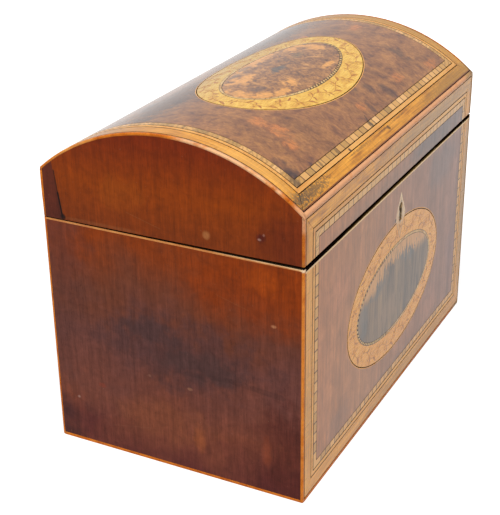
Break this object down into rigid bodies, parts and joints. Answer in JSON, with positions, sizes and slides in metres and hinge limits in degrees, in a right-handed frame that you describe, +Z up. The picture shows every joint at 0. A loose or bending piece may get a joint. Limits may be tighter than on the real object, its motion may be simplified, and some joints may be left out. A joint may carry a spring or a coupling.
{
  "type": "domed tea caddy",
  "caption": "Rectangular veneered box with an arched hinged lid, inlaid ovals and bandings, a sliding-bolt lock, and a divided inside under two lift-out lids.",
  "frame": {"origin": "centre of the case's underside, on the surface that the box stands on", "axes": "+Z up, front with the keyhole towards -Y, longest side along X"},
  "size_m": [0.19, 0.115, 0.144],
  "materials": {
    "carcass_wood": "plain sawn wood, oiled by age",
    "field_veneer": "polished figured veneer",
    "end_veneer": "polished red-brown veneer",
    "crossbanding": "polished golden crossbanding",
    "dark_string": "polished black-dyed string",
    "light_string": "polished boxwood string",
    "oval_band": "polished golden band with an engraved vine",
    "chequer": "polished chequer string",
    "front_panel": "polished grey-brown veneer",
    "top_panel": "polished burr veneer",
    "bone": "worn bone inlay",
    "lining_wood": "waxed lining wood",
    "knob_wood": "turned and polished wood",
    "brass": "tarnished brass",
    "steel": "dull steel"
  },
  "bodies": {
    "box": {"base_board": "carcass_wood", "carcass_front": "carcass_wood", "carcass_back": "carcass_wood", "carcass_left": "carcass_wood", "carcass_right": "carcass_wood", "veneer_front": "field_veneer", "veneer_back": "end_veneer", "veneer_left": "end_veneer", "veneer_right": "end_veneer", "front_crossbanding": "crossbanding", "front_dark_lines": "dark_string", "front_light_lines": "light_string", "front_ladder_blocks": "light_string", "front_ladder_rungs": "dark_string", "front_oval_band": "oval_band", "front_oval_chequer": "chequer", "front_oval_panel": "front_panel", "escutcheon": "bone", "edge_strings": "light_string", "rim_strings": "light_string", "lining_front": "lining_wood", "lining_back": "lining_wood", "lining_left": "lining_wood", "lining_right": "lining_wood", "division": "lining_wood", "lock_plate": "brass", "lock_cap": "brass", "lock_key_pin": "steel", "lock_spring": "steel", "hinge_box_leaves": "brass", "hinge_pins": "brass", "box_screws": "brass"},
    "lid": {"lid_front_rail": "carcass_wood", "lid_back_rail": "carcass_wood", "lid_end_left": "carcass_wood", "lid_end_right": "carcass_wood", "lid_dome_board": "carcass_wood", "lid_veneer_top": "field_veneer", "lid_veneer_front": "field_veneer", "lid_veneer_back": "end_veneer", "lid_veneer_left": "end_veneer", "lid_veneer_right": "end_veneer", "lid_crossbanding": "crossbanding", "lid_dark_lines": "dark_string", "lid_light_lines": "light_string", "lid_ladder_blocks": "light_string", "lid_ladder_rungs": "dark_string", "lid_oval_band": "oval_band", "lid_oval_chequer": "chequer", "lid_oval_panel": "top_panel", "lid_edge_strings": "light_string", "hinge_lid_leaves": "brass", "link_plate": "brass", "lid_screws": "brass"},
    "bolt": {"lock_bolt": "steel"},
    "left_inner_lid": {"inner_lid_left": "lining_wood", "knob_left": "knob_wood"},
    "right_inner_lid": {"inner_lid_right": "lining_wood", "knob_right": "knob_wood"}
  },
  "joints": [
    {"name": "lid_hinge", "type": "hinge", "parent": "box", "child": "lid", "pos_m": [0, 0.0565, 0.10178], "axis": [-1, 0, 0], "range_deg": [0, 98]},
    {"name": "bolt_slide", "type": "slide", "parent": "box", "child": "bolt", "axis": [1, 0, 0], "range_m": [0, 0.003]},
    {"name": "left_inner_lid_lift", "type": "slide", "parent": "box", "child": "left_inner_lid", "axis": [0, 0, 1], "range_m": [0, 0.016]},
    {"name": "right_inner_lid_lift", "type": "slide", "parent": "box", "child": "right_inner_lid", "axis": [0, 0, 1], "range_m": [0, 0.016]}
  ]
}
